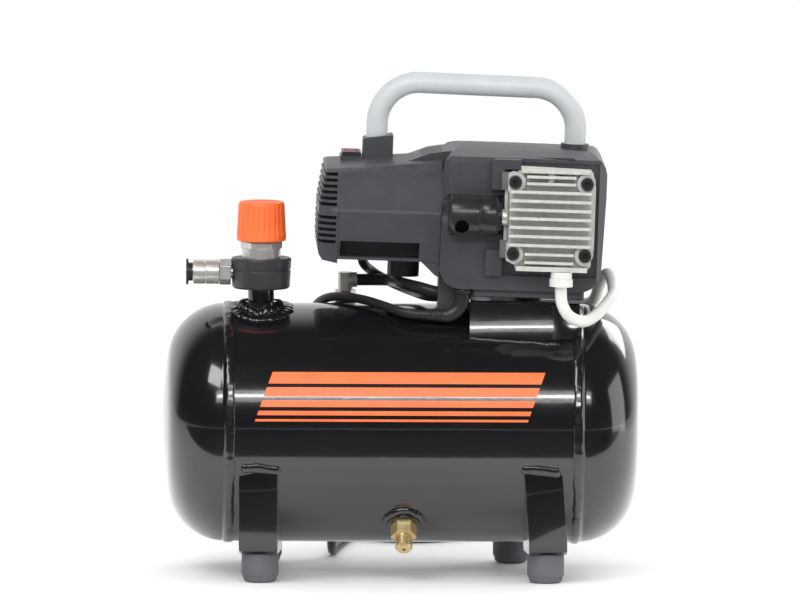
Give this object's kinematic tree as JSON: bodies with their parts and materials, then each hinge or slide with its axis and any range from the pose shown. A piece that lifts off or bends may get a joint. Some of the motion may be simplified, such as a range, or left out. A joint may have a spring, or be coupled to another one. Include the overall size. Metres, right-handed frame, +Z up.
{
  "type": "air compressor",
  "caption": "Small oil-free air compressor: black horizontal tank on feet, motor and pump with carry handle on a saddle, outlet with pressure regulator and quick coupler.",
  "frame": {"origin": "on the floor, under the middle of the object without its mains lead", "axes": "+X along the tank towards the cylinder head's end, +Y to the rear, +Z up"},
  "size_m": [0.326, 0.3504, 0.3407],
  "materials": {
    "black_gloss_paint": "gloss",
    "foot_rubber": "matte",
    "zinc_steel": "satin",
    "brass": "satin",
    "nickel": "polished",
    "regulator_black": "satin",
    "orange_plastic": "satin",
    "black_fittings": "satin",
    "dial_white": "matte",
    "needle_red": "matte",
    "clear_lens": "gloss",
    "anthracite_plastic": "satin",
    "handle_grey": "satin",
    "switch_red": "satin",
    "cast_aluminium": "satin",
    "black_screws": "satin",
    "gloss_black_plastic": "gloss",
    "ivory_plastic": "satin",
    "copper_winding": "satin",
    "fan_plastic": "matte",
    "hose_rubber": "satin"
  },
  "bodies": {
    "frame": {"tank_shell": "black_gloss_paint", "tank_end_left": "black_gloss_paint", "tank_end_right": "black_gloss_paint", "foot_bracket_front_left": "black_gloss_paint", "foot_bracket_front_right": "black_gloss_paint", "foot_bracket_back_left": "black_gloss_paint", "foot_bracket_back_right": "black_gloss_paint", "rubber_feet": "foot_rubber", "foot_screws": "zinc_steel", "pump_saddle": "black_gloss_paint", "tank_bosses": "black_gloss_paint", "drain_body": "brass", "check_valve": "brass", "safety_valve": "brass", "tank_hose_fitting": "nickel", "outlet_stem": "black_gloss_paint", "regulator_body": "regulator_black", "bonnet_ring": "nickel", "gauge_case": "black_fittings", "gauge_dial": "dial_white", "gauge_lens": "clear_lens", "coupler_body": "nickel", "coupler_end_ring": "black_fittings", "motor_cover_upper": "anthracite_plastic", "motor_cover_lower": "anthracite_plastic", "motor_end_cap": "anthracite_plastic", "pump_cover": "anthracite_plastic", "cover_screws": "zinc_steel", "carry_handle": "handle_grey", "switch_bezel": "black_fittings", "crankcase": "cast_aluminium", "cylinder_sleeve": "cast_aluminium", "valve_plate": "zinc_steel", "cylinder_head": "cast_aluminium", "head_screws": "black_screws", "intake_silencer": "gloss_black_plastic", "delivery_nut": "ivory_plastic", "delivery_tube": "ivory_plastic", "stator": "zinc_steel", "stator_windings": "copper_winding", "bearings": "zinc_steel", "run_capacitor": "gloss_black_plastic", "pump_mounts": "foot_rubber", "pressure_hose": "hose_rubber", "motor_cable": "hose_rubber", "cord_gland": "black_fittings", "mains_cord": "hose_rubber", "cord_coil": "hose_rubber", "cord_tail": "hose_rubber", "mains_plug": "black_fittings"},
    "rotor": {"rotor_shaft": "zinc_steel", "cooling_fan": "fan_plastic", "crank_disc": "zinc_steel"},
    "piston": {"piston_rod": "cast_aluminium"},
    "pressure_knob": {"regulator_knob": "orange_plastic"},
    "needle": {"gauge_needle": "needle_red"},
    "sleeve": {"coupler_sleeve": "nickel"},
    "drain": {"drain_screw": "brass"},
    "relief": {"relief_ring": "zinc_steel"},
    "rocker": {"switch_rocker": "switch_red"}
  },
  "joints": [
    {"name": "crank_spin", "type": "hinge", "parent": "frame", "child": "rotor", "pos_m": [0.00175, 0, 0.25081], "axis": [0.9996, 0, -0.0279], "continuous": true},
    {"name": "piston_stroke", "type": "slide", "parent": "frame", "child": "piston", "axis": [0, 1, 0], "range_m": [-0.008, 0.008]},
    {"name": "knob_turn", "type": "hinge", "parent": "frame", "child": "pressure_knob", "pos_m": [-0.096, -0.015, 0.24], "axis": [0, 0, 1], "range_deg": [-720, 720]},
    {"name": "needle_swing", "type": "hinge", "parent": "frame", "child": "needle", "pos_m": [-0.096, 0.018, 0.2057], "axis": [0, -1, 0], "range_deg": [0, 270]},
    {"name": "sleeve_slide", "type": "slide", "parent": "frame", "child": "sleeve", "axis": [-1, 0, 0], "range_m": [0, 0.003], "stiffness_N_per_m": 400},
    {"name": "drain_turn", "type": "hinge", "parent": "frame", "child": "drain", "pos_m": [0.0005, -0.05207, 0.03995], "axis": [0, -0.6428, -0.766], "range_deg": [0, 360]},
    {"name": "relief_pull", "type": "slide", "parent": "frame", "child": "relief", "axis": [0, 0.5592, 0.829], "range_m": [0, 0.003], "stiffness_N_per_m": 500},
    {"name": "switch_rock", "type": "hinge", "parent": "frame", "child": "rocker", "pos_m": [-0.03533, 0, 0.28406], "axis": [0.9996, 0, -0.0279], "range_deg": [-16, 0]}
  ]
}
